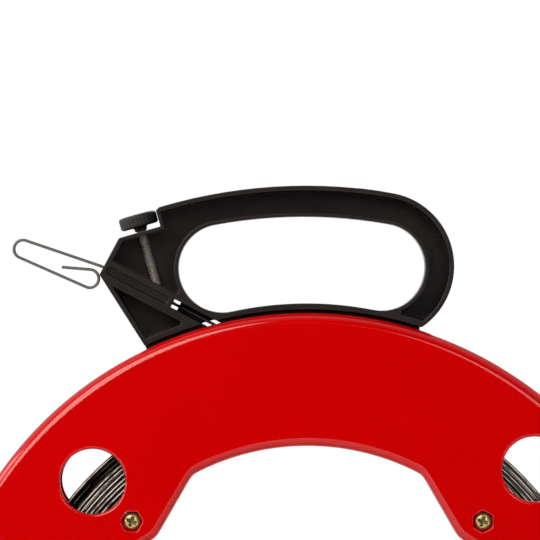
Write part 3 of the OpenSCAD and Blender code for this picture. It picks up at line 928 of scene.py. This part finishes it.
class FT_OT_handle(bpy.types.Operator):
    """Builds the moulded handle"""
    bl_idname = "fishtape.handle"
    bl_label = "Handle"

    def execute(self, context):
        h = sizes("handle")
        handle = rounded_copy("handle_frame", "moulded_handle", h.edge)
        finish = black_moulding("black_moulding", h.black, 0.0005, 0.33, 0.00004)
        hand_over(handle, "handle", "handle_black", finish, "handle_frame")
        return {"FINISHED"}


class FT_OT_ring(bpy.types.Operator):
    """Builds the ring that the case turns on"""
    bl_idname = "fishtape.ring"
    bl_label = "Ring"

    def execute(self, context):
        h = sizes("handle")
        ring = rounded_copy("guide_ring", "moulded_ring", h.ring_edge)
        finish = black_moulding("ring_moulding", h.ring_black, 0.0006, 0.36, 0.00002)
        hand_over(ring, "handle", "ring_black", finish, "guide_ring")
        return {"FINISHED"}


def clamp_frame(k):
    """Middle of the ledge hole, the direction along the ledge and the way up along the screw."""
    low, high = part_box("clamp_screw")
    across = k.screw_r * math.cos(k.tilt)
    right = np.array([math.cos(k.tilt), 0, math.sin(k.tilt)])
    up = np.array([-math.sin(k.tilt), 0, math.cos(k.tilt)])
    top = np.array([low[0] + across, 0, high[2] - k.screw_r * math.sin(k.tilt)])
    above = k.knob_lift + k.knob_t - k.knob_skin - 0.1 * MM
    bottom_x = high[0] - across
    down = (bottom_x - top[0]) / math.sin(k.tilt) - above
    return top - above * up, right, up, down


def knob_profile(k):
    """Section of the knob from the bottom of its blind hole, down the hole, out over the neck and
    the flare, round the rim and over the crown to the middle, heights from the ledge."""
    base, top = k.knob_lift, k.knob_lift + k.knob_t
    side_top = top - k.knob_crown
    e = k.knob_edge
    bore = k.screw_r + 0.01 * MM
    flare = [(k.neck_r + (k.flare_r - k.neck_r) * (1 - math.cos(a)), base - k.flare_h * (1 - math.sin(a)))
             for a in np.radians(np.linspace(0, 90, 8))]
    r = np.linspace(k.knob_r - 2 * e, 0.05 * MM, 8)
    crown = np.stack([r, top - k.knob_crown * (r / k.knob_r) ** 2], axis=-1)
    return np.concatenate([
        [(0.05 * MM, top - k.knob_skin), (bore, top - k.knob_skin), (bore, k.neck_gap),
         (k.neck_r - 0.2 * MM, k.neck_gap), (k.neck_r, k.neck_gap + 0.2 * MM)],
        flare, arc((k.knob_r - e, base + e), e, -90, 0, 8),
        steps_between((k.knob_r, base + e), (k.knob_r, side_top - e), 3),
        arc((k.knob_r - e, side_top - e), e, 0, 84, 8), crown,
    ])


def fluted(k):
    """Radius of the knob with flutes: near the rim it is lowered by flute_depth times a rounded
    wave of the angle, fading out towards the top and the underside."""
    base, height = k.knob_lift, k.knob_t - k.knob_crown

    def radial(r, h, a):
        wave = 0.5 - 0.5 * np.cos(k.flutes * a)
        rise = np.clip((h - base) / height, 0, 1)
        fade = np.clip(4 * rise * (1 - rise), 0, 1) ** 0.5
        outer = np.clip((r / k.knob_r - 0.8) / 0.2, 0, 1)
        return r - k.flute_depth * wave ** 3 * fade * outer
    return radial


def thread_rings(k, down):
    """Clamp screw from its lower end up: below the plain shank the radius is lowered by
    thread_depth times a rounded saw wave of height / pitch minus angle / full turn."""
    around = circle_angles(40)
    top = k.knob_lift + k.knob_t - k.knob_skin - 0.1 * MM
    steps = int((down - k.plain) / k.pitch * 10)
    shank = [-k.plain + 0.3 * MM, top - 0.2 * MM, top]
    heights = np.concatenate([np.linspace(-down, -k.plain, steps), shank])
    h = heights[:, None]
    phase = (h / k.pitch - around / (2 * np.pi)) % 1
    saw = 1 - np.abs(2 * phase - 1)
    run_out = np.clip((-k.plain - h) / (0.5 * MM), 0, 1)
    tip = np.clip(1 - (h + down) / (0.5 * MM), 0, 1)
    r = k.screw_r - k.thread_depth * (1 - saw ** 0.8) * run_out - 0.3 * MM * tip
    return turned_points(np.where(h > top - 0.1 * MM, r - 0.2 * MM, r), around, h)


class FT_OT_knob(bpy.types.Operator):
    """Builds the fluted knob of the tape clamp"""
    bl_idname = "fishtape.knob"
    bl_label = "Clamp knob"

    def execute(self, context):
        k = sizes("clamp")
        origin, right, up, _ = clamp_frame(k)
        rings = lathe_rings(knob_profile(k), circle_angles(264), fluted(k))
        knob = tube("fluted_knob", placed(rings, origin, right, up), smooth_angle=50)
        finish = black_moulding("knob_moulding", k.black, 0.0003, 0.40, 0.00005)
        hand_over(knob, "clamp", "knob_black", finish, "clamp_knob")
        return {"FINISHED"}


class FT_OT_clamp_screw(bpy.types.Operator):
    """Builds the threaded screw of the tape clamp"""
    bl_idname = "fishtape.clamp_screw"
    bl_label = "Clamp screw"

    def execute(self, context):
        k = sizes("clamp")
        origin, right, up, down = clamp_frame(k)
        rings = placed(thread_rings(k, down), origin, right, up)
        screw = tube("threaded_clamp_screw", rings, smooth_angle=70)
        finish = bare_steel("dark_thread", k.steel, 0.30, 0.45)
        hand_over(screw, "clamp", "clamp_steel", finish, "clamp_screw")
        return {"FINISHED"}


class FT_OT_small_steel(bpy.types.Operator):
    """Gives the clamp's pad and the tape's rivet their finish"""
    bl_idname = "fishtape.small_steel"
    bl_label = "Pad and rivet"

    def execute(self, context):
        bright = bare_steel("bright_turned_steel", sizes("clamp").bright, 0.25)
        for node in ("clamp_pad", "tape_anchor"):
            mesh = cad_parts[node].data
            mesh.materials.clear()
            mesh.materials.append(bright)
        return {"FINISHED"}


# ---------- stage ----------

def area_light(name, at, aim, size, power, tint):
    """A rectangular soft light at a place, turned towards another."""
    data = bpy.data.lights.new(name, "AREA")
    data.shape = "RECTANGLE"
    data.size, data.size_y = size
    data.energy = power
    data.color = tint
    lamp = bpy.data.objects.new(name, data)
    lamp.location = at
    away = np.subtract(at, aim)
    pitch = math.atan2(math.hypot(away[0], away[1]), away[2])
    lamp.rotation_euler = (pitch, 0, math.atan2(away[1], away[0]) + math.pi / 2)
    bpy.context.scene.collection.objects.link(lamp)
    return lamp


def studio_world():
    """White where the camera looks past the reel and an even grey for diffuse light. Reflections
    see white sides and a dark front, so that the flat faces keep their own colour."""
    world = bpy.data.worlds.new("studio")
    world.use_nodes = True
    tree = world.node_tree
    shine = tree.nodes["Background"]
    rays = tree.nodes.new("ShaderNodeLightPath")
    place = tree.nodes.new("ShaderNodeTexCoord")
    split = tree.nodes.new("ShaderNodeSeparateXYZ")
    fade = tree.nodes.new("ShaderNodeMapRange")
    fade.interpolation_type = "SMOOTHSTEP"
    for key, value in {"From Min": -0.8, "From Max": 0.1, "To Min": 0.0, "To Max": 0.9}.items():
        fade.inputs[key].default_value = value
    seen, glossy = tree.nodes.new("ShaderNodeMix"), tree.nodes.new("ShaderNodeMix")
    tree.links.new(place.outputs["Generated"], split.inputs[0])
    tree.links.new(split.outputs["Y"], fade.inputs["Value"])
    tree.links.new(rays.outputs["Is Glossy Ray"], glossy.inputs[0])
    glossy.inputs[2].default_value = 0.22
    tree.links.new(fade.outputs[0], glossy.inputs[3])
    tree.links.new(rays.outputs["Is Camera Ray"], seen.inputs[0])
    tree.links.new(glossy.outputs[0], seen.inputs[2])
    seen.inputs[3].default_value = 1.0
    tree.links.new(seen.outputs[0], shine.inputs["Strength"])
    shine.inputs["Color"].default_value = (1, 1, 1, 1)
    bpy.context.scene.world = world


class FT_OT_stage(bpy.types.Operator):
    """Sets the floor, the soft lights, the world and the camera"""
    bl_idname = "fishtape.stage"
    bl_label = "Stage"

    def execute(self, context):
        g = sizes("stage")
        floor_z = CAD_BOX[0][2]
        edge = np.array([(g.floor_r, floor_z), (g.floor_r, floor_z - g.floor_t)])
        rings = lathe_rings(edge, circle_angles(96))
        floor = tube("floor", rings)
        floor.data.materials.append(floor_paint(g.floor))
        middle = (0, 0, 0.08)
        white = (1, 1, 1)
        softboxes = (
            ("softbox_left", (-0.77, -1.34, 1.0), (1.1, 1.1), 27, g.warm),
            ("softbox_side", (-1.65, -0.25, 0.6), (1.0, 1.1), 19, g.warm),
            ("softbox_right", (0.62, -2.05, 0.62), (0.7, 0.7), 5, white),
            ("strip_back", (0.2, 1.6, 0.9), (1.4, 0.8), 12, white),
        )
        for name, at, size, power, tint in softboxes:
            area_light(name, at, middle, size, power, tint)
        for name, y, power in (("front_fill", -2.4, 16), ("back_fill", 2.4, 40)):
            fill = area_light(name, (0.0, y, 0.85), middle, (0.9, 0.8), power, white)
            fill.visible_glossy = False
        studio_world()
        data = bpy.data.cameras.new("camera")
        data.sensor_width = 36.0
        data.lens = data.sensor_width * g.distance / g.view_w
        data.clip_end = 20.0
        camera = bpy.data.objects.new("camera", data)
        camera.location = (g.view_x, -g.distance - g.view_y, g.view_z)
        camera.rotation_euler = (math.pi / 2, 0, 0)
        context.scene.collection.objects.link(camera)
        context.scene.camera = camera
        context.scene.view_settings.view_transform = "Standard"
        context.scene.view_settings.look = "None"
        return {"FINISHED"}


# ---------- panel and running ----------

PIECES = (
    FT_OT_stage, FT_OT_case, FT_OT_fasteners, FT_OT_coils, FT_OT_lead,
    FT_OT_handle, FT_OT_ring, FT_OT_knob, FT_OT_clamp_screw, FT_OT_small_steel,
)


class FT_PT_panel(bpy.types.Panel):
    """Lists the sizes and the pieces of the reel"""
    bl_idname = "FT_PT_panel"
    bl_label = "Fish tape reel"
    bl_space_type = "VIEW_3D"
    bl_region_type = "UI"
    bl_category = "Fish tape"

    def draw(self, context):
        for group, kind in SETTINGS.items():
            box = self.layout.box()
            box.label(text=group.capitalize())
            for key in kind.__annotations__:
                box.prop(sizes(group), key)
        for piece in PIECES:
            self.layout.operator(piece.bl_idname)


def register():
    for kind in SETTINGS.values():
        bpy.utils.register_class(kind)
    for group, kind in SETTINGS.items():
        setattr(bpy.types.Scene, "fish_tape_" + group, PointerProperty(type=kind))
    for piece in PIECES:
        bpy.utils.register_class(piece)
    bpy.utils.register_class(FT_PT_panel)


def unregister():
    bpy.utils.unregister_class(FT_PT_panel)
    for piece in reversed(PIECES):
        bpy.utils.unregister_class(piece)
    for group, kind in SETTINGS.items():
        delattr(bpy.types.Scene, "fish_tape_" + group)
        bpy.utils.unregister_class(kind)


def main():
    """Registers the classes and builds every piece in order."""
    register()
    for piece in PIECES:
        group, action = piece.bl_idname.split(".")
        getattr(getattr(bpy.ops, group), action)()


if __name__ == "__main__":
    main()
